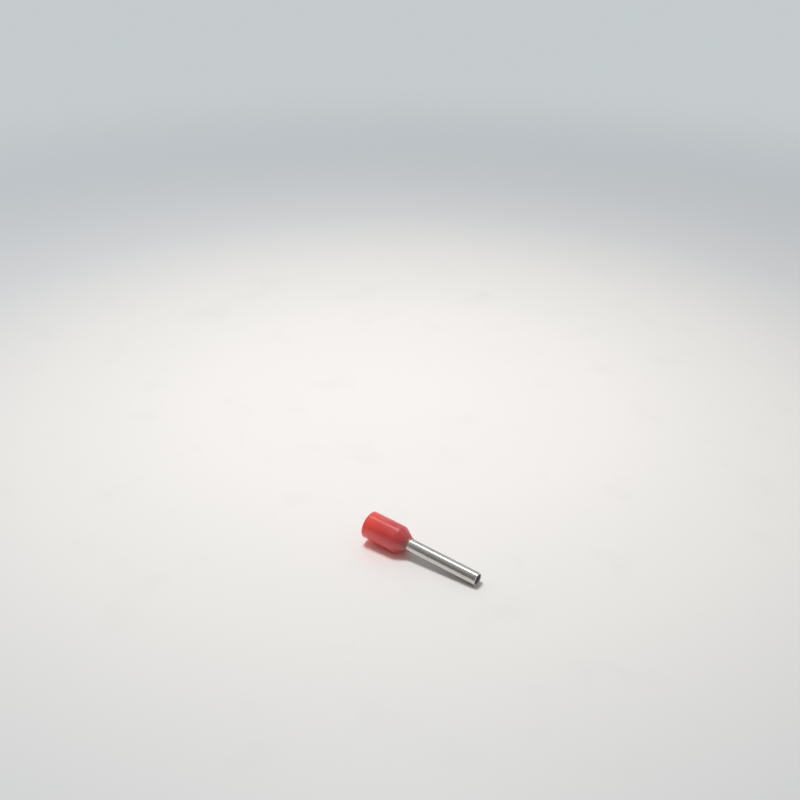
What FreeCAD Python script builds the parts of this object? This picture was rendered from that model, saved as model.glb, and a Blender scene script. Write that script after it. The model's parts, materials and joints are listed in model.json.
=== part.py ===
import FreeCAD, Part
import os
from enum import IntEnum

import Sketcher

# An insulated wire end ferrule for 1.0 mm2 wire, lying on a table.
# A drawn copper tube has a funnel flared on one end. It is pushed through a moulded
# plastic collar until the funnel seats on the cone at the bottom of the collar.
# Each piece is turned about its own X axis, which starts in the plane of the collar's
# mouth and points to the tube's free end. The placement then lays it on the table.

# Driving sizes in millimetres, and the angles in degrees
DRIVING_SIZES = [
    ("tube_bore", 1.4, "inside diameter of the tube"),
    ("tube_wall", 0.15, "thickness of the tube's wall"),
    ("tube_reach", 10.0, "length of tube that stands out of the collar"),
    ("tube_end_round", 0.04, "radius on the edges of both ends of the tube"),
    ("funnel_angle", 35.0, "slope of the funnel's side from the axis"),
    ("funnel_rise", 0.32, "how far the flared rim stands out past the tube's side"),
    ("funnel_bend", 0.3, "radius outside the bend between tube and funnel"),
    ("collar_length", 6.3, "collar from its mouth to the end of its neck"),
    ("collar_bore", 3.0, "inside diameter of the collar's cavity"),
    ("collar_wall", 0.3, "thickness of the collar's wall around the cavity"),
    ("mouth_round", 0.1, "radius on both edges of the mouth"),
    ("cavity_round", 0.25, "radius between the cavity's side and the cone below it"),
    ("shoulder_length", 1.4, "length of the taper outside, along the axis"),
    ("shoulder_round", 0.9, "radius where the taper leaves the collar's side"),
    ("neck_length", 0.14, "length of the short neck after the taper"),
    ("neck_wall", 0.09, "thickness of plastic around the tube at the neck"),
    ("neck_round", 0.04, "radius on the neck's outer edge"),
    ("grip_length", 0.6, "length of the hole through the collar that holds the tube"),
    ("draft_angle", 1.0, "draft of the mould on that hole and on the neck"),
]

# Sizes that follow from the driving ones, in the order in which they build up
DERIVED_SIZES = [
    ("bore_radius", "Float", "Sizes.tube_bore / 2"),
    ("tube_radius", "Float", "bore_radius + Sizes.tube_wall"),
    ("tube_end", "Float", "Sizes.collar_length + Sizes.tube_reach"),
    ("tube_end_round", "Float", "min(Sizes.tube_end_round; Sizes.tube_wall * 0.4)"),
    ("seat_corner", "Float", "Sizes.collar_length - Sizes.grip_length"),
    ("rim_outer_radius", "Float", "tube_radius + Sizes.funnel_rise"),
    ("rim_outer_x", "Float", "seat_corner - Sizes.funnel_rise / tan(Sizes.funnel_angle)"),
    ("rim_inner_radius", "Float", "rim_outer_radius - Sizes.tube_wall * cos(Sizes.funnel_angle)"),
    ("rim_inner_x", "Float", "rim_outer_x - Sizes.tube_wall * sin(Sizes.funnel_angle)"),
    ("bend_inner_x", "Float", "seat_corner - Sizes.tube_wall * tan(Sizes.funnel_angle / 2)"),
    ("bend_inner_round", "Float", "Sizes.funnel_bend + Sizes.tube_wall"),
    ("draft", "Float", "tan(Sizes.draft_angle)"),
    ("hole_slide", "Float", "Sizes.grip_length * draft / (tan(Sizes.funnel_angle) - draft)"),
    ("hole_corner", "Float", "seat_corner - hole_slide"),
    ("hole_radius", "Float", "tube_radius + (Sizes.collar_length - hole_corner) * draft"),
    ("cavity_radius", "Float", "Sizes.collar_bore / 2"),
    ("cavity_depth", "Float", "seat_corner - (cavity_radius - tube_radius) / tan(Sizes.funnel_angle)"),
    ("collar_radius", "Float", "cavity_radius + Sizes.collar_wall"),
    ("mouth_round", "Float", "min(Sizes.mouth_round; Sizes.collar_wall * 0.4)"),
    ("neck_radius", "Float", "tube_radius + Sizes.neck_wall"),
    ("neck_start", "Float", "Sizes.collar_length - Sizes.neck_length"),
    ("neck_root", "Float", "neck_radius + Sizes.neck_length * draft"),
    ("neck_round", "Float", "min(Sizes.neck_round; Sizes.neck_wall * 0.5)"),
    ("shoulder_start", "Float", "neck_start - Sizes.shoulder_length"),
    ("shoulder_angle", "Angle", "atan((collar_radius - neck_root) / Sizes.shoulder_length)"),
]

# The ferrule rests on two rounded edges, the collar's shoulder as its heel and the
# tube's free end as its toe. The table touches both rounds, so their centres and
# radii give the tilt, and the origin is on the table below the middle of the part.
REST_SIZES = [
    ("heel_x", "Float", "shoulder_start - Sizes.shoulder_round * tan(shoulder_angle / 2)"),
    ("heel_radius", "Float", "collar_radius - Sizes.shoulder_round"),
    ("toe_x", "Float", "tube_end - tube_end_round"),
    ("toe_radius", "Float", "tube_radius - tube_end_round"),
    ("heel_to_toe", "Float", "hypot(toe_x - heel_x; heel_radius - toe_radius)"),
    ("line_of_centres", "Angle", "atan((heel_radius - toe_radius) / (toe_x - heel_x))"),
    ("lean_of_rounds", "Angle", "asin((Sizes.shoulder_round - tube_end_round) / heel_to_toe)"),
    ("rest_tilt", "Angle", "line_of_centres + lean_of_rounds"),
    ("mouth_z", "Float", "toe_x * sin(rest_tilt) + toe_radius * cos(rest_tilt) + tube_end_round"),
    ("front_reach", "Float", "toe_x * cos(rest_tilt) + toe_radius * sin(rest_tilt) + tube_end_round"),
    ("lip_radius", "Float", "collar_radius - mouth_round"),
    ("back_reach", "Float", "lip_radius * sin(rest_tilt) + mouth_round * (1 - cos(rest_tilt))"),
    ("mouth_x", "Float", "(back_reach - front_reach) / 2"),
]

# Outlines in the half plane through the axis. Each corner of the closed loop has its
# distance from the mouth, its distance from the axis and the radius that rounds it.
# A corner with no distance from the mouth lies in the plane of the mouth.
COLLAR_OUTLINE = [
    (None, "Derived.cavity_radius", "Derived.mouth_round"),
    (None, "Derived.collar_radius", "Derived.mouth_round"),
    ("Derived.shoulder_start", "Derived.collar_radius", "Sizes.shoulder_round"),
    ("Derived.neck_start", "Derived.neck_root", None),
    ("Sizes.collar_length", "Derived.neck_radius", "Derived.neck_round"),
    ("Sizes.collar_length", "Derived.tube_radius", None),
    ("Derived.hole_corner", "Derived.hole_radius", "Sizes.funnel_bend"),
    ("Derived.cavity_depth", "Derived.cavity_radius", "Sizes.cavity_round"),
]
TUBE_OUTLINE = [
    ("Derived.tube_end", "Derived.bore_radius", "Derived.tube_end_round"),
    ("Derived.tube_end", "Derived.tube_radius", "Derived.tube_end_round"),
    ("Derived.seat_corner", "Derived.tube_radius", "Sizes.funnel_bend"),
    ("Derived.rim_outer_x", "Derived.rim_outer_radius", "Derived.tube_end_round"),
    ("Derived.rim_inner_x", "Derived.rim_inner_radius", "Derived.tube_end_round"),
    ("Derived.bend_inner_x", "Derived.bore_radius", "Derived.bend_inner_round"),
]


class Mark(IntEnum):
    """How a sketch numbers its vertical axis, its origin and the two ends of a side."""

    VERTICAL_AXIS = -2
    ORIGIN = -1
    START = 1
    END = 2


def fill_sizes(doc):
    """Write the driving sizes into a sheet and the ones that follow into a set of variables."""
    sheet = doc.addObject("Spreadsheet::Sheet", "Sizes")
    for row, (alias, value, meaning) in enumerate(DRIVING_SIZES, start=1):
        sheet.set(f"A{row}", alias)
        sheet.set(f"B{row}", str(value))
        sheet.set(f"C{row}", meaning)
        sheet.setAlias(f"B{row}", alias)
    doc.recompute()
    derived = doc.addObject("App::VarSet", "Derived")
    for name, kind, expression in DERIVED_SIZES + REST_SIZES:
        derived.addProperty(f"App::Property{kind}", name, "Sizes")
        derived.setExpression(name, expression)
    doc.recompute()


def own_plane(body, role):
    """The origin plane of a body that has this role."""
    return next(feature for feature in body.Origin.OriginFeatures if feature.Role == role)


def bind(sketch, constraint, name, expression):
    """Add a dimension to a sketch under a name, and tie it to an expression."""
    index = sketch.addConstraint(constraint)
    sketch.renameConstraint(index, name)
    sketch.setExpression(f"Constraints.{name}", expression)


def draw_sides(sketch, outline):
    """Draw the closed loop of straight sides, corner to corner, near its final place."""
    corners = []
    for along, radius, _ in outline:
        distance = 0 if along is None else sketch.evalExpression(along)
        corners.append(FreeCAD.Vector(distance, sketch.evalExpression(radius), 0))
    following = corners[1:] + corners[:1]
    for corner, next_corner in zip(corners, following):
        sketch.addGeometry(Part.LineSegment(corner, next_corner), False)
    sides = list(range(len(outline)))
    for side, next_side in zip(sides, sides[1:] + sides[:1]):
        sketch.addConstraint(Sketcher.Constraint("Coincident", side, Mark.END, next_side, Mark.START))


def round_corners(sketch, outline):
    """Round the corners that have a radius, and return the point that marks each corner."""
    points = []
    for side, (_, _, round_radius) in enumerate(outline):
        if round_radius is None:
            points.append((side, Mark.START))
            continue
        radius = sketch.evalExpression(round_radius)
        sketch.fillet(side, Mark.START, radius, True, True)
        arc, corner_point = sketch.GeometryCount - 2, sketch.GeometryCount - 1
        bind(sketch, Sketcher.Constraint("Radius", arc, radius), f"round_{side}", round_radius)
        points.append((corner_point, Mark.START))
    return points


def place_corners(sketch, outline, points):
    """Hold each corner at its distance from the axis and at its distance from the mouth."""
    origin = (Mark.ORIGIN, Mark.START)
    for number, ((along, radius, _), point) in enumerate(zip(outline, points)):
        height = sketch.evalExpression(radius)
        from_axis = Sketcher.Constraint("DistanceY", *origin, *point, height)
        bind(sketch, from_axis, f"radius_{number}", radius)
        if along is None:
            sketch.addConstraint(Sketcher.Constraint("PointOnObject", *point, Mark.VERTICAL_AXIS))
            continue
        distance = sketch.evalExpression(along)
        from_mouth = Sketcher.Constraint("DistanceX", *origin, *point, distance)
        bind(sketch, from_mouth, f"along_{number}", along)


def turned_piece(doc, name, outline):
    """A piece of the ferrule: an outline turned once round the axis, then laid down at rest."""
    body = doc.addObject("PartDesign::Body", name.capitalize())
    body.Label = name
    sketch = body.newObject("Sketcher::SketchObject", f"{body.Name}Outline")
    sketch.AttachmentSupport = (own_plane(body, "XZ_Plane"), [""])
    sketch.MapMode = "FlatFace"
    draw_sides(sketch, outline)
    points = round_corners(sketch, outline)
    place_corners(sketch, outline, points)
    doc.recompute()
    if not sketch.FullyConstrained:
        raise RuntimeError(f"the outline of {name} can still move")
    turn = body.newObject("PartDesign::Revolution", f"{body.Name}Turn")
    turn.Profile = (sketch, [""])
    turn.ReferenceAxis = (sketch, ["H_Axis"])
    turn.Angle = 360
    body.setExpression(
        "Placement",
        "create(<<placement>>; vector(Derived.mouth_x; 0; Derived.mouth_z);"
        " create(<<rotation>>; 0; Derived.rest_tilt; 0))",
    )
    return body


doc = FreeCAD.newDocument("WireFerrule")
fill_sizes(doc)
pieces = [
    turned_piece(doc, "tube", TUBE_OUTLINE),
    turned_piece(doc, "collar", COLLAR_OUTLINE),
]
doc.recompute()

for feature in doc.Objects:
    if "Invalid" in feature.State or "Error" in feature.State:
        raise RuntimeError(f"{feature.Label} failed: {feature.State}")
for piece in pieces:
    if piece.Shape.isNull() or not piece.Shape.isValid() or piece.Shape.Volume <= 0:
        raise RuntimeError(f"{piece.Label} has no valid solid")

os.makedirs("parts", exist_ok=True)
for piece in pieces:
    piece.Shape.exportStep(f"parts/{piece.Label}.step")
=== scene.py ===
import json
import math

import bpy
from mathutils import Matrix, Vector


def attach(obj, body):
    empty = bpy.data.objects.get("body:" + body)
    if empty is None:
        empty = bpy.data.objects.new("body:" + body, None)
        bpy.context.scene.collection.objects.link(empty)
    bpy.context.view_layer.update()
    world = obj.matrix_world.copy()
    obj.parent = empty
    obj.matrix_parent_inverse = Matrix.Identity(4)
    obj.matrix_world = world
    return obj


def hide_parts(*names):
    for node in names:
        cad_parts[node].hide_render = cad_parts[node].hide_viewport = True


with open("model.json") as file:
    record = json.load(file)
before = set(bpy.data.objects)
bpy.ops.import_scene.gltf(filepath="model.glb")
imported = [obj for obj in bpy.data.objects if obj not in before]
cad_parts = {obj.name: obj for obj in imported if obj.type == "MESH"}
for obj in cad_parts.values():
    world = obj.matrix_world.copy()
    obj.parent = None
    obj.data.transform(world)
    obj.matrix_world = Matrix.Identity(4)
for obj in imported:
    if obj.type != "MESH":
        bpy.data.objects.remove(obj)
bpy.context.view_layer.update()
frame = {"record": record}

# Tube
# The metal half of the ferrule: copper tube drawn to a 0.15 mm wall, cut to length and
# tin-plated. One end is cut square with its burr taken off, and the other end is flared
# over a cone punch into a short funnel, which guides the strands in.
MM = 0.001
mounts = {mount["name"]: mount for mount in frame["record"]["mounts"]}
tube_line = Vector(mounts["terminal_tube"]["axis"]).normalized()
tube_middle = Vector(mounts["terminal_tube"]["pos_m"])
tube_reach = 10.0 * MM
tube_end_round = 0.04 * MM
collar_length = 6.3 * MM
neck_face = tube_middle - tube_line * (tube_reach - tube_end_round) / 2
mouth = neck_face - tube_line * collar_length
lean = math.acos(tube_line.z)

bore_radius = 0.7 * MM
tube_wall = 0.15 * MM
tube_radius = bore_radius + tube_wall
funnel_angle = math.radians(35.0)
funnel_rise = 0.32 * MM
funnel_bend = 0.3 * MM
grip_length = 0.6 * MM
tube_end = collar_length + tube_reach
seat_corner = collar_length - grip_length
rim_along = seat_corner - funnel_rise / math.tan(funnel_angle)
rim_radius = tube_radius + funnel_rise
inner_rim_along = rim_along - tube_wall * math.sin(funnel_angle)
inner_rim_radius = rim_radius - tube_wall * math.cos(funnel_angle)
inner_bend = seat_corner - tube_wall * math.tan(funnel_angle / 2)

tube_outline = [
    (tube_end, bore_radius, tube_end_round),
    (tube_end, tube_radius, tube_end_round),
    (seat_corner, tube_radius, funnel_bend),
    (rim_along, rim_radius, tube_end_round),
    (inner_rim_along, inner_rim_radius, tube_end_round),
    (inner_bend, bore_radius, funnel_bend + tube_wall),
]


def turning_tree():
    """The node tree that turns an outline round the ferrule's axis and lays the piece at rest."""
    tree = bpy.data.node_groups.new("turned_piece", "GeometryNodeTree")
    tree.interface.new_socket("Geometry", in_out="INPUT", socket_type="NodeSocketGeometry")
    for name, kind in [
        ("Sides", "NodeSocketInt"),
        ("Arc Points", "NodeSocketInt"),
        ("Longest Step", "NodeSocketFloat"),
        ("Core Radius", "NodeSocketFloat"),
        ("Wave Height", "NodeSocketFloat"),
        ("Wave Length", "NodeSocketFloat"),
        ("Wave Stretch", "NodeSocketFloat"),
        ("Seed", "NodeSocketFloat"),
        ("Mouth", "NodeSocketVector"),
        ("Lean", "NodeSocketFloat"),
        ("Material", "NodeSocketMaterial"),
    ]:
        tree.interface.new_socket(name, in_out="INPUT", socket_type=kind)
    tree.interface.new_socket("Geometry", in_out="OUTPUT", socket_type="NodeSocketGeometry")
    nodes, links = tree.nodes, tree.links
    given = nodes.new("NodeGroupInput").outputs

    outline = nodes.new("GeometryNodeMeshToCurve")
    links.new(given["Geometry"], outline.inputs["Mesh"])
    corner_round = nodes.new("GeometryNodeInputNamedAttribute")
    corner_round.data_type = "FLOAT"
    corner_round.inputs["Name"].default_value = "round"
    rounded = nodes.new("GeometryNodeFilletCurve")
    rounded.mode = "POLY"
    links.new(outline.outputs["Curve"], rounded.inputs["Curve"])
    links.new(given["Arc Points"], rounded.inputs["Count"])
    links.new(corner_round.outputs["Attribute"], rounded.inputs["Radius"])

    # Long straight sides get enough points for the waves
    here = nodes.new("GeometryNodeInputPosition")
    following = nodes.new("GeometryNodeOffsetPointInCurve")
    following.inputs["Offset"].default_value = 1
    there = nodes.new("GeometryNodeFieldAtIndex")
    there.data_type = "FLOAT_VECTOR"
    links.new(following.outputs["Point Index"], there.inputs["Index"])
    links.new(here.outputs["Position"], there.inputs["Value"])
    side_length = nodes.new("ShaderNodeVectorMath")
    side_length.operation = "DISTANCE"
    links.new(here.outputs["Position"], side_length.inputs[0])
    links.new(there.outputs["Value"], side_length.inputs[1])
    cuts = nodes.new("ShaderNodeMath")
    cuts.operation = "DIVIDE"
    links.new(side_length.outputs["Value"], cuts.inputs[0])
    links.new(given["Longest Step"], cuts.inputs[1])
    divided = nodes.new("GeometryNodeSubdivideCurve")
    links.new(rounded.outputs["Curve"], divided.inputs["Curve"])
    links.new(cuts.outputs["Value"], divided.inputs["Cuts"])

    # The outline runs round a small circle, which takes its own radius off the outline's
    core = nodes.new("GeometryNodeCurvePrimitiveCircle")
    links.new(given["Sides"], core.inputs["Resolution"])
    links.new(given["Core Radius"], core.inputs["Radius"])
    level_core = nodes.new("GeometryNodeSetCurveNormal")
    level_core.mode = "Z_UP"
    links.new(core.outputs["Curve"], level_core.inputs["Curve"])
    inward = nodes.new("ShaderNodeCombineXYZ")
    minus_core = nodes.new("ShaderNodeMath")
    minus_core.operation = "MULTIPLY"
    minus_core.inputs[1].default_value = -1.0
    links.new(given["Core Radius"], minus_core.inputs[0])
    links.new(minus_core.outputs["Value"], inward.inputs["X"])
    shifted = nodes.new("GeometryNodeTransform")
    links.new(divided.outputs["Curve"], shifted.inputs["Geometry"])
    links.new(inward.outputs["Vector"], shifted.inputs["Translation"])
    turned = nodes.new("GeometryNodeCurveToMesh")
    links.new(level_core.outputs["Curve"], turned.inputs["Curve"])
    links.new(shifted.outputs["Geometry"], turned.inputs["Profile Curve"])

    # Shallow waves along the normal, longer along the axis than round it
    stretch = nodes.new("ShaderNodeCombineXYZ")
    for axis in "XY":
        stretch.inputs[axis].default_value = 1.0
    links.new(given["Wave Stretch"], stretch.inputs["Z"])
    stretched = nodes.new("ShaderNodeVectorMath")
    stretched.operation = "DIVIDE"
    links.new(here.outputs["Position"], stretched.inputs[0])
    links.new(stretch.outputs["Vector"], stretched.inputs[1])
    per_wave = nodes.new("ShaderNodeMath")
    per_wave.operation = "DIVIDE"
    per_wave.inputs[0].default_value = 1.0
    links.new(given["Wave Length"], per_wave.inputs[1])
    waves = nodes.new("ShaderNodeTexNoise")
    waves.noise_dimensions = "4D"
    waves.inputs["Detail"].default_value = 1.0
    links.new(stretched.outputs["Vector"], waves.inputs["Vector"])
    links.new(per_wave.outputs["Value"], waves.inputs["Scale"])
    links.new(given["Seed"], waves.inputs["W"])
    centred = nodes.new("ShaderNodeMath")
    centred.operation = "SUBTRACT"
    centred.inputs[1].default_value = 0.5
    links.new(waves.outputs["Fac"], centred.inputs[0])
    height = nodes.new("ShaderNodeMath")
    height.operation = "MULTIPLY"
    links.new(centred.outputs["Value"], height.inputs[0])
    links.new(given["Wave Height"], height.inputs[1])
    outward = nodes.new("GeometryNodeInputNormal")
    lift = nodes.new("ShaderNodeVectorMath")
    lift.operation = "SCALE"
    links.new(outward.outputs["Normal"], lift.inputs[0])
    links.new(height.outputs["Value"], lift.inputs["Scale"])
    wavy = nodes.new("GeometryNodeSetPosition")
    links.new(turned.outputs["Mesh"], wavy.inputs["Geometry"])
    links.new(lift.outputs["Vector"], wavy.inputs["Offset"])

    # The axis leans from upright to the line on which the ferrule rests
    turn = nodes.new("ShaderNodeCombineXYZ")
    links.new(given["Lean"], turn.inputs["Y"])
    laid = nodes.new("GeometryNodeTransform")
    links.new(wavy.outputs["Geometry"], laid.inputs["Geometry"])
    links.new(given["Mouth"], laid.inputs["Translation"])
    links.new(turn.outputs["Vector"], laid.inputs["Rotation"])
    realized = nodes.new("GeometryNodeRealizeInstances")
    links.new(laid.outputs["Geometry"], realized.inputs["Geometry"])
    coated = nodes.new("GeometryNodeSetMaterial")
    links.new(realized.outputs["Geometry"], coated.inputs["Geometry"])
    links.new(given["Material"], coated.inputs["Material"])
    links.new(coated.outputs["Geometry"], nodes.new("NodeGroupOutput").inputs["Geometry"])
    return tree


turned_piece_tree = turning_tree()


def turn_piece(name, outline, material, **sizes):
    """A plain mesh object: the outline of (along, radius, round) corners, turned and laid down."""
    sketch = bpy.data.meshes.new(f"{name}_outline")
    corners = [(radius, -along, 0.0) for along, radius, _ in outline]
    count = len(corners)
    sketch.from_pydata(corners, [(i, (i + 1) % count) for i in range(count)], [])
    rounds = sketch.attributes.new("round", "FLOAT", "POINT")
    rounds.data.foreach_set("value", [corner_round for _, _, corner_round in outline])
    draft = bpy.data.objects.new(f"{name}_draft", sketch)
    bpy.context.scene.collection.objects.link(draft)
    modifier = draft.modifiers.new("turn", "NODES")
    modifier.node_group = turned_piece_tree
    settings = {"Mouth": mouth, "Lean": lean, "Material": material, **sizes}
    for socket in turned_piece_tree.interface.items_tree:
        if socket.in_out == "INPUT" and socket.name in settings:
            modifier[socket.identifier] = settings[socket.name]
    evaluated = draft.evaluated_get(bpy.context.evaluated_depsgraph_get())
    mesh = bpy.data.meshes.new_from_object(evaluated)
    bpy.data.objects.remove(draft)
    mesh.name = name
    mesh.shade_smooth()
    piece = bpy.data.objects.new(name, mesh)
    bpy.context.scene.collection.objects.link(piece)
    return piece


tin = bpy.data.materials.new("bright_tin")
tin.use_nodes = True
nodes, links = tin.node_tree.nodes, tin.node_tree.links
shader = nodes["Principled BSDF"]
shader.inputs["Metallic"].default_value = 1.0
coordinates = nodes.new("ShaderNodeTexCoord")
along_tube = nodes.new("ShaderNodeMapping")
along_tube.vector_type = "TEXTURE"
along_tube.inputs["Location"].default_value = mouth
along_tube.inputs["Rotation"].default_value = (0.0, lean, 0.0)
links.new(coordinates.outputs["Object"], along_tube.inputs["Vector"])
drawn = nodes.new("ShaderNodeMapping")
drawn.inputs["Scale"].default_value = (1.0, 1.0, 0.02)
links.new(along_tube.outputs["Vector"], drawn.inputs["Vector"])
draw_lines = nodes.new("ShaderNodeTexNoise")
draw_lines.inputs["Scale"].default_value = 9000.0
draw_lines.inputs["Detail"].default_value = 3.0
links.new(drawn.outputs["Vector"], draw_lines.inputs["Vector"])
cloud = nodes.new("ShaderNodeTexNoise")
cloud.inputs["Scale"].default_value = 900.0
cloud.inputs["Detail"].default_value = 3.0
links.new(along_tube.outputs["Vector"], cloud.inputs["Vector"])
tone = nodes.new("ShaderNodeValToRGB")
tone.color_ramp.elements[0].position = 0.3
tone.color_ramp.elements[0].color = (0.64, 0.63, 0.61, 1.0)
tone.color_ramp.elements[1].position = 0.7
tone.color_ramp.elements[1].color = (0.72, 0.71, 0.70, 1.0)
links.new(cloud.outputs["Fac"], tone.inputs["Fac"])

# The bore is duller than the burnished outside, and the change lies within the cut face
dull_depth = 0.02 * MM
bright_depth = 0.05 * MM
place = nodes.new("ShaderNodeSeparateXYZ")
links.new(along_tube.outputs["Vector"], place.inputs["Vector"])
across = nodes.new("ShaderNodeCombineXYZ")
links.new(place.outputs["X"], across.inputs["X"])
links.new(place.outputs["Y"], across.inputs["Y"])
from_axis = nodes.new("ShaderNodeVectorMath")
from_axis.operation = "LENGTH"
links.new(across.outputs["Vector"], from_axis.inputs[0])
outside = nodes.new("ShaderNodeMapRange")
outside.inputs["From Min"].default_value = bore_radius + dull_depth
outside.inputs["From Max"].default_value = bore_radius + bright_depth
links.new(from_axis.outputs["Value"], outside.inputs["Value"])
links.new(outside.outputs["Result"], shader.inputs["Metallic"])
dull = nodes.new("ShaderNodeMix")
dull.data_type = "RGBA"
dull.inputs["A"].default_value = (0.42, 0.40, 0.41, 1.0)
links.new(outside.outputs["Result"], dull.inputs["Factor"])
links.new(tone.outputs["Color"], dull.inputs["B"])

# The shears leave a few small dark nicks near the cut end, longer round the tube than along it
nicks_reach = 1.0 * MM
nicks_full_at = 0.4 * MM
near_cut = nodes.new("ShaderNodeMapRange")
near_cut.inputs["From Min"].default_value = tube_end - nicks_reach
near_cut.inputs["From Max"].default_value = tube_end - nicks_full_at
links.new(place.outputs["Z"], near_cut.inputs["Value"])
nick_shape = nodes.new("ShaderNodeMapping")
nick_shape.inputs["Scale"].default_value = (1.0, 1.0, 1.8)
links.new(along_tube.outputs["Vector"], nick_shape.inputs["Vector"])
nicks = nodes.new("ShaderNodeTexNoise")
nicks.inputs["Scale"].default_value = 3400.0
nicks.inputs["Detail"].default_value = 1.0
links.new(nick_shape.outputs["Vector"], nicks.inputs["Vector"])
nick_edge = nodes.new("ShaderNodeMapRange")
nick_edge.inputs["From Min"].default_value = 0.6
nick_edge.inputs["From Max"].default_value = 0.72
links.new(nicks.outputs["Fac"], nick_edge.inputs["Value"])
nicked = nodes.new("ShaderNodeMath")
nicked.operation = "MULTIPLY"
links.new(near_cut.outputs["Result"], nicked.inputs[0])
links.new(nick_edge.outputs["Result"], nicked.inputs[1])
scuffs = nodes.new("ShaderNodeMath")
scuffs.operation = "MULTIPLY"
links.new(nicked.outputs["Value"], scuffs.inputs[0])
links.new(outside.outputs["Result"], scuffs.inputs[1])
scuffed = nodes.new("ShaderNodeMix")
scuffed.data_type = "RGBA"
scuffed.inputs["B"].default_value = (0.16, 0.15, 0.145, 1.0)
links.new(scuffs.outputs["Value"], scuffed.inputs["Factor"])
links.new(dull.outputs["Result"], scuffed.inputs["A"])

# The cut face itself is fresh and bright
fresh_from = tube_end - 0.06 * MM
fresh_full_from = tube_end - 0.03 * MM
cut_face = nodes.new("ShaderNodeMapRange")
cut_face.inputs["From Min"].default_value = fresh_from
cut_face.inputs["From Max"].default_value = fresh_full_from
links.new(place.outputs["Z"], cut_face.inputs["Value"])
fresh = nodes.new("ShaderNodeMix")
fresh.data_type = "RGBA"
fresh.inputs["B"].default_value = (0.90, 0.89, 0.88, 1.0)
links.new(cut_face.outputs["Result"], fresh.inputs["Factor"])
links.new(scuffed.outputs["Result"], fresh.inputs["A"])
links.new(fresh.outputs["Result"], shader.inputs["Base Color"])

gloss = nodes.new("ShaderNodeMapRange")
gloss.inputs["From Min"].default_value = 0.3
gloss.inputs["From Max"].default_value = 0.7
gloss.inputs["To Min"].default_value = 0.12
gloss.inputs["To Max"].default_value = 0.2
links.new(draw_lines.outputs["Fac"], gloss.inputs["Value"])
finish = nodes.new("ShaderNodeMix")
finish.inputs["A"].default_value = 0.55
links.new(outside.outputs["Result"], finish.inputs["Factor"])
links.new(gloss.outputs["Result"], finish.inputs["B"])

# Rubbed where the collar was pushed on
rubbed_to = collar_length + 0.3 * MM
smooth_from = collar_length + 1.3 * MM
rubbed = nodes.new("ShaderNodeMapRange")
rubbed.inputs["From Min"].default_value = rubbed_to
rubbed.inputs["From Max"].default_value = smooth_from
rubbed.inputs["To Min"].default_value = 0.14
rubbed.inputs["To Max"].default_value = 0.0
links.new(place.outputs["Z"], rubbed.inputs["Value"])
roughness = nodes.new("ShaderNodeMath")
roughness.operation = "ADD"
links.new(finish.outputs["Result"], roughness.inputs[0])
links.new(rubbed.outputs["Result"], roughness.inputs[1])
links.new(roughness.outputs["Value"], shader.inputs["Roughness"])
bump = nodes.new("ShaderNodeBump")
bump.inputs["Strength"].default_value = 0.18
bump.inputs["Distance"].default_value = 0.004 * MM
links.new(draw_lines.outputs["Fac"], bump.inputs["Height"])
links.new(bump.outputs["Normal"], shader.inputs["Normal"])

tube = turn_piece("tinned_tube", tube_outline, tin, **{
    "Sides": 96, "Arc Points": 8, "Longest Step": 0.15 * MM, "Core Radius": 0.2 * MM,
    "Wave Height": 0.006 * MM, "Wave Length": 1.1 * MM, "Wave Stretch": 4.0, "Seed": 3.0,
})
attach(tube, "root")
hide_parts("tube")

# Collar
# The insulating half: a sleeve moulded in translucent red polypropylene, hollow, with a
# cone inside on which the tube's funnel seats and a tapered shoulder outside. The tube is
# pushed through it from the mouth until the funnel holds it.
collar_radius = 1.8 * MM
collar_wall = 0.3 * MM
cavity_radius = collar_radius - collar_wall
mouth_round = 0.1 * MM
cavity_round = 0.25 * MM
shoulder_length = 1.4 * MM
shoulder_round = 0.9 * MM
neck_length = 0.14 * MM
neck_wall = 0.09 * MM
neck_round = 0.04 * MM
draft = math.tan(math.radians(1.0))
neck_radius = tube_radius + neck_wall
neck_start = collar_length - neck_length
neck_root = neck_radius + neck_length * draft
shoulder_start = neck_start - shoulder_length
hole_corner = seat_corner - grip_length * draft / (math.tan(funnel_angle) - draft)
hole_radius = tube_radius + (collar_length - hole_corner) * draft
cavity_depth = seat_corner - (cavity_radius - tube_radius) / math.tan(funnel_angle)

collar_outline = [
    (0.0, cavity_radius, mouth_round),
    (0.0, collar_radius, mouth_round),
    (shoulder_start, collar_radius, shoulder_round),
    (neck_start, neck_root, 0.0),
    (collar_length, neck_radius, neck_round),
    (collar_length, tube_radius, 0.0),
    (hole_corner, hole_radius, funnel_bend),
    (cavity_depth, cavity_radius, cavity_round),
]

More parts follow.
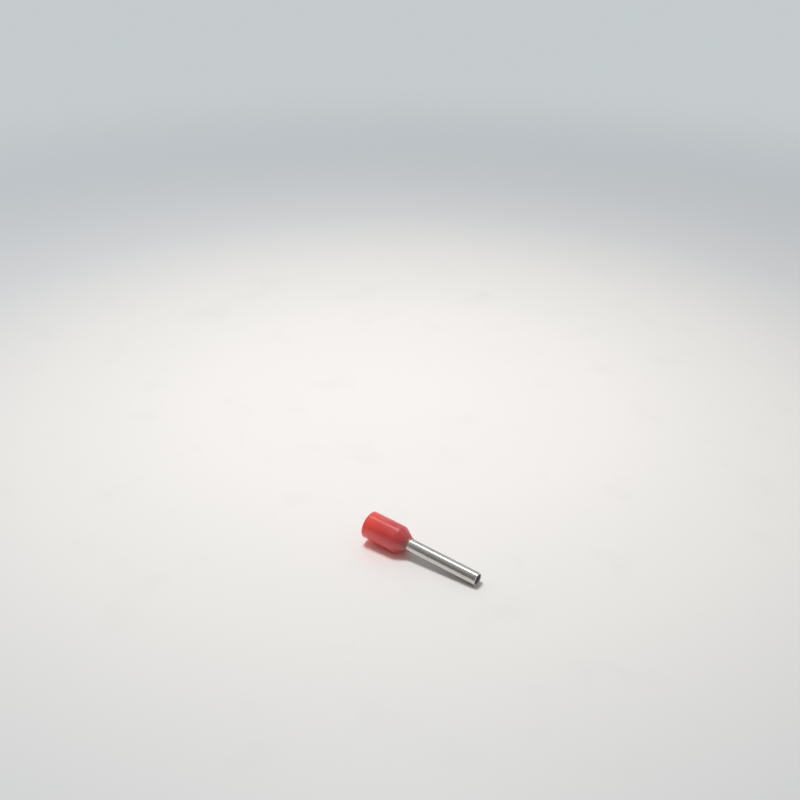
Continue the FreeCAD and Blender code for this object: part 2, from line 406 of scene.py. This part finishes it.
red = bpy.data.materials.new("translucent_red_polypropylene")
red.use_nodes = True
nodes, links = red.node_tree.nodes, red.node_tree.links
shader = nodes["Principled BSDF"]
coordinates = nodes.new("ShaderNodeTexCoord")
along_collar = nodes.new("ShaderNodeMapping")
along_collar.vector_type = "TEXTURE"
along_collar.inputs["Location"].default_value = mouth
along_collar.inputs["Rotation"].default_value = (0.0, lean, 0.0)
links.new(coordinates.outputs["Object"], along_collar.inputs["Vector"])
distance = nodes.new("ShaderNodeSeparateXYZ")
links.new(along_collar.outputs["Vector"], distance.inputs["Vector"])
depth = nodes.new("ShaderNodeMapRange")
depth.inputs["From Max"].default_value = collar_length
links.new(distance.outputs["Z"], depth.inputs["Value"])
# The red dye along the collar. It is lighter and more orange at the mouth end, a painted glow of
# light coming in through the open mouth. It is pale at the neck's lip, partly for the thin plastic
# over the metal and partly as a painted highlight of the glint on the lip.
dye_and_painted_glow = nodes.new("ShaderNodeValToRGB")
for stop, (position, colour) in enumerate([
    (0.1, (0.87, 0.082, 0.058)),
    (0.5, (0.71, 0.058, 0.058)),
    (0.9, (0.70, 0.074, 0.080)),
    (0.975, (0.70, 0.09, 0.09)),
    (0.99, (0.76, 0.19, 0.155)),
]):
    if stop >= 2:
        dye_and_painted_glow.color_ramp.elements.new(position)
    dye_and_painted_glow.color_ramp.elements[stop].position = position
    dye_and_painted_glow.color_ramp.elements[stop].color = (*colour, 1.0)
links.new(depth.outputs["Result"], dye_and_painted_glow.inputs["Fac"])
links.new(dye_and_painted_glow.outputs["Color"], shader.inputs["Base Color"])

# The thin lip of the neck scatters less. Its paler colour in the ramp above is partly a painted
# highlight.
lip = nodes.new("ShaderNodeMapRange")
lip.inputs["From Min"].default_value = 0.975
lip.inputs["From Max"].default_value = 0.99
lip.inputs["To Min"].default_value = 1.0
lip.inputs["To Max"].default_value = 0.5
links.new(depth.outputs["Result"], lip.inputs["Value"])
links.new(lip.outputs["Result"], shader.inputs["Subsurface Weight"])
shader.inputs["Subsurface Radius"].default_value = (0.8, 0.07, 0.06)
shader.inputs["Subsurface Scale"].default_value = 2.8 * MM
shader.inputs["IOR"].default_value = 1.49
shader.inputs["Specular IOR Level"].default_value = 1.0

# Drag lines along the collar, from drawing it off the mould's core, and the mould's grain
skin = nodes.new("ShaderNodeTexNoise")
skin.inputs["Scale"].default_value = 2500.0
skin.inputs["Detail"].default_value = 2.0
links.new(along_collar.outputs["Vector"], skin.inputs["Vector"])
lengthwise = nodes.new("ShaderNodeMapping")
lengthwise.inputs["Scale"].default_value = (1.0, 1.0, 0.03)
links.new(along_collar.outputs["Vector"], lengthwise.inputs["Vector"])
drag_lines = nodes.new("ShaderNodeTexNoise")
drag_lines.inputs["Scale"].default_value = 4200.0
drag_lines.inputs["Detail"].default_value = 2.0
links.new(lengthwise.outputs["Vector"], drag_lines.inputs["Vector"])
texture = nodes.new("ShaderNodeMix")
texture.inputs["Factor"].default_value = 0.65
links.new(skin.outputs["Fac"], texture.inputs["A"])
links.new(drag_lines.outputs["Fac"], texture.inputs["B"])
gloss = nodes.new("ShaderNodeMapRange")
gloss.inputs["From Min"].default_value = 0.2
gloss.inputs["From Max"].default_value = 0.8
gloss.inputs["To Min"].default_value = 0.2
gloss.inputs["To Max"].default_value = 0.28
links.new(texture.outputs["Result"], gloss.inputs["Value"])
links.new(gloss.outputs["Result"], shader.inputs["Roughness"])
bump = nodes.new("ShaderNodeBump")
bump.inputs["Strength"].default_value = 0.1
bump.inputs["Distance"].default_value = 0.01 * MM
links.new(drag_lines.outputs["Fac"], bump.inputs["Height"])
links.new(bump.outputs["Normal"], shader.inputs["Normal"])

# Some red light passes through the walls, so the shadow is reddish too
share_let_through = 0.61
ray = nodes.new("ShaderNodeLightPath")
passing = nodes.new("ShaderNodeMath")
passing.operation = "MULTIPLY"
passing.inputs[1].default_value = share_let_through
links.new(ray.outputs["Is Shadow Ray"], passing.inputs[0])
filtered = nodes.new("ShaderNodeBsdfTransparent")
filtered.inputs["Color"].default_value = (0.9, 0.1, 0.08, 1.0)
seen_through = nodes.new("ShaderNodeMixShader")
links.new(passing.outputs["Value"], seen_through.inputs["Fac"])
links.new(shader.outputs["BSDF"], seen_through.inputs[1])
links.new(filtered.outputs["BSDF"], seen_through.inputs[2])
links.new(seen_through.outputs["Shader"], nodes["Material Output"].inputs["Surface"])

collar = turn_piece("red_collar", collar_outline, red, **{
    "Sides": 128, "Arc Points": 10, "Longest Step": 0.15 * MM, "Core Radius": 0.2 * MM,
    "Wave Height": 0.012 * MM, "Wave Length": 1.6 * MM, "Wave Stretch": 3.0, "Seed": 8.0,
})
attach(collar, "root")
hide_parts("collar")

# Table
# A white laminate table under the ferrule, slightly glossy. Its colour is painted lighter round a
# spot behind the ferrule and greyer and bluer away from it: a painted pool of light that fades
# into painted shade. It is part of the picture and not of the object.
table_half = 2.0
painted_light_centre = Vector((-27.0, 35.0, 0.0)) * MM
painted_light_reach = 160.0 * MM
ground_from = 90.0 * MM
ground_full_from = 250.0 * MM

tabletop = bpy.data.meshes.new("tabletop")
table_corners = [
    (-table_half, -table_half, 0.0),
    (table_half, -table_half, 0.0),
    (table_half, table_half, 0.0),
    (-table_half, table_half, 0.0),
]
tabletop.from_pydata(table_corners, [], [(0, 1, 2, 3)])
table = bpy.data.objects.new("table", tabletop)
bpy.context.scene.collection.objects.link(table)
laminate = bpy.data.materials.new("white_laminate")
laminate.use_nodes = True
nodes, links = laminate.node_tree.nodes, laminate.node_tree.links
shader = nodes["Principled BSDF"]
coordinates = nodes.new("ShaderNodeTexCoord")
from_painted_light_centre = nodes.new("ShaderNodeVectorMath")
from_painted_light_centre.operation = "DISTANCE"
from_painted_light_centre.inputs[1].default_value = painted_light_centre
links.new(coordinates.outputs["Object"], from_painted_light_centre.inputs[0])
away = nodes.new("ShaderNodeMapRange")
away.inputs["From Max"].default_value = painted_light_reach
links.new(from_painted_light_centre.outputs["Value"], away.inputs["Value"])
# Painted light: the laminate's white is lightest at the spot and turns grey-blue with distance,
# standing in for the lamp's pool of light and its falloff
laminate_and_painted_light = nodes.new("ShaderNodeValToRGB")
for stop, (position, colour) in enumerate([
    (0.0, (0.90, 0.87, 0.86)),
    (0.2, (0.86, 0.84, 0.825)),
    (0.37, (0.775, 0.77, 0.75)),
    (0.6, (0.61, 0.625, 0.64)),
    (0.8, (0.55, 0.58, 0.61)),
    (1.0, (0.50, 0.55, 0.585)),
]):
    if stop >= 2:
        laminate_and_painted_light.color_ramp.elements.new(position)
    laminate_and_painted_light.color_ramp.elements[stop].position = position
    laminate_and_painted_light.color_ramp.elements[stop].color = (*colour, 1.0)
links.new(away.outputs["Result"], laminate_and_painted_light.inputs["Fac"])
smudges = nodes.new("ShaderNodeTexNoise")
smudges.inputs["Scale"].default_value = 110.0
smudges.inputs["Detail"].default_value = 4.0
links.new(coordinates.outputs["Object"], smudges.inputs["Vector"])
faint = nodes.new("ShaderNodeMapRange")
faint.inputs["From Min"].default_value = 0.56
faint.inputs["From Max"].default_value = 0.8
faint.inputs["To Max"].default_value = 0.12
links.new(smudges.outputs["Fac"], faint.inputs["Value"])
wiped = nodes.new("ShaderNodeMix")
wiped.data_type = "RGBA"
links.new(faint.outputs["Result"], wiped.inputs["Factor"])
links.new(laminate_and_painted_light.outputs["Color"], wiped.inputs["A"])
wiped.inputs["B"].default_value = (0.55, 0.54, 0.53, 1.0)
links.new(wiped.outputs["Result"], shader.inputs["Base Color"])
shader.inputs["Roughness"].default_value = 0.35

# Far away the table turns into the pale ground of the picture
far_away = nodes.new("ShaderNodeMapRange")
far_away.interpolation_type = "SMOOTHSTEP"
far_away.inputs["From Min"].default_value = ground_from
far_away.inputs["From Max"].default_value = ground_full_from
links.new(from_painted_light_centre.outputs["Value"], far_away.inputs["Value"])
ray = nodes.new("ShaderNodeLightPath")
seen = nodes.new("ShaderNodeMath")
seen.operation = "MAXIMUM"
links.new(ray.outputs["Is Camera Ray"], seen.inputs[0])
links.new(ray.outputs["Is Glossy Ray"], seen.inputs[1])
seen_or_through = nodes.new("ShaderNodeMath")
seen_or_through.operation = "MAXIMUM"
links.new(seen.outputs["Value"], seen_or_through.inputs[0])
links.new(ray.outputs["Is Transmission Ray"], seen_or_through.inputs[1])
fade = nodes.new("ShaderNodeMath")
fade.operation = "MULTIPLY"
links.new(far_away.outputs["Result"], fade.inputs[0])
links.new(seen_or_through.outputs["Value"], fade.inputs[1])
ground = nodes.new("ShaderNodeEmission")
ground.inputs["Color"].default_value = (0.56, 0.60, 0.615, 1.0)
faded = nodes.new("ShaderNodeMixShader")
links.new(fade.outputs["Value"], faded.inputs["Fac"])
links.new(shader.outputs["BSDF"], faded.inputs[1])
links.new(ground.outputs["Emission"], faded.inputs[2])
links.new(faded.outputs["Shader"], nodes["Material Output"].inputs["Surface"])
tabletop.materials.append(laminate)

# Light
# One soft lamp almost straight above the ferrule, on the mouth's side, and a dim room round
# it. Gloss shows a second, dimmer disc beside the lamp in its place, as a lamp looks where
# a picture clips. The room is darker on the camera's side and paler beyond the ferrule.
camera_azimuth = math.radians(35.6)
lamp_direction = Vector((-0.22, 0.08, 0.932)).normalized()
lamp_distance = 0.35
lamp_spread = math.radians(16.0)
lamp_radiance = 34.3
glint_direction = Vector((-0.2, 0.25, 0.947)).normalized()
glint_distance = 0.30
glint_spread = math.radians(22.0)
glint_radiance = 3.7


def disc_lamp(name, direction, distance, spread, radiance):
    """A round lamp that faces the ferrule and looks spread radians wide from there."""
    data = bpy.data.lights.new(name, "AREA")
    data.shape = "DISK"
    data.size = 2 * distance * math.tan(spread / 2)
    data.energy = radiance * math.pi * math.pi * (data.size / 2) ** 2
    disc = bpy.data.objects.new(name, data)
    disc.location = direction * distance
    disc.rotation_euler = direction.to_track_quat("Z", "Y").to_euler()
    bpy.context.scene.collection.objects.link(disc)
    return disc


lamp = disc_lamp("lamp", lamp_direction, lamp_distance, lamp_spread, lamp_radiance)
lamp.visible_glossy = False
glint = disc_lamp("glint", glint_direction, glint_distance, glint_spread, glint_radiance)
glint.visible_diffuse = False
glint.visible_transmission = False
glint.visible_volume_scatter = False

world = bpy.data.worlds.new("room")
bpy.context.scene.world = world
world.use_nodes = True
nodes, links = world.node_tree.nodes, world.node_tree.links
background = nodes["Background"]
coordinates = nodes.new("ShaderNodeTexCoord")
toward_camera = nodes.new("ShaderNodeVectorMath")
toward_camera.operation = "DOT_PRODUCT"
toward_camera.inputs[1].default_value = (math.sin(camera_azimuth), -math.cos(camera_azimuth), 0.0)
links.new(coordinates.outputs["Generated"], toward_camera.inputs[0])
facing = nodes.new("ShaderNodeMapRange")
facing.inputs["From Min"].default_value = -1.0
links.new(toward_camera.outputs["Value"], facing.inputs["Value"])
walls = nodes.new("ShaderNodeValToRGB")
walls.color_ramp.elements[0].position = 0.2
walls.color_ramp.elements[0].color = (0.56, 0.57, 0.58, 1.0)
walls.color_ramp.elements[1].position = 0.75
walls.color_ramp.elements[1].color = (0.22, 0.203, 0.192, 1.0)
links.new(facing.outputs["Result"], walls.inputs["Fac"])
height = nodes.new("ShaderNodeSeparateXYZ")
links.new(coordinates.outputs["Generated"], height.inputs["Vector"])
overhead = nodes.new("ShaderNodeMapRange")
overhead.interpolation_type = "SMOOTHSTEP"
overhead.inputs["From Min"].default_value = 0.74
overhead.inputs["From Max"].default_value = 0.9
links.new(height.outputs["Z"], overhead.inputs["Value"])
room = nodes.new("ShaderNodeMix")
room.data_type = "RGBA"
links.new(overhead.outputs["Result"], room.inputs["Factor"])
links.new(walls.outputs["Color"], room.inputs["A"])
room.inputs["B"].default_value = (0.49, 0.468, 0.45, 1.0)
links.new(room.outputs["Result"], background.inputs["Color"])

# Camera
# The photograph's angle, from above and on the free end's side, with a normal lens. The
# camera looks past the ferrule at a point behind it, so that it lies low in the frame.
camera_elevation = math.radians(28.53)
camera_distance = 161.4 * MM
camera_target = Vector((-26.6, 32.5, 0.0)) * MM
camera_data = bpy.data.cameras.new("camera")
camera_data.lens = 45.0
camera_data.sensor_width = 36.0
camera_data.clip_start = 0.001
camera = bpy.data.objects.new("camera", camera_data)
back = Vector((
    math.sin(camera_azimuth) * math.cos(camera_elevation),
    -math.cos(camera_azimuth) * math.cos(camera_elevation),
    math.sin(camera_elevation),
))
camera.location = camera_target + back * camera_distance
camera.rotation_euler = back.to_track_quat("Z", "Y").to_euler()
bpy.context.scene.collection.objects.link(camera)
bpy.context.scene.camera = camera
bpy.context.scene.view_settings.view_transform = "Standard"
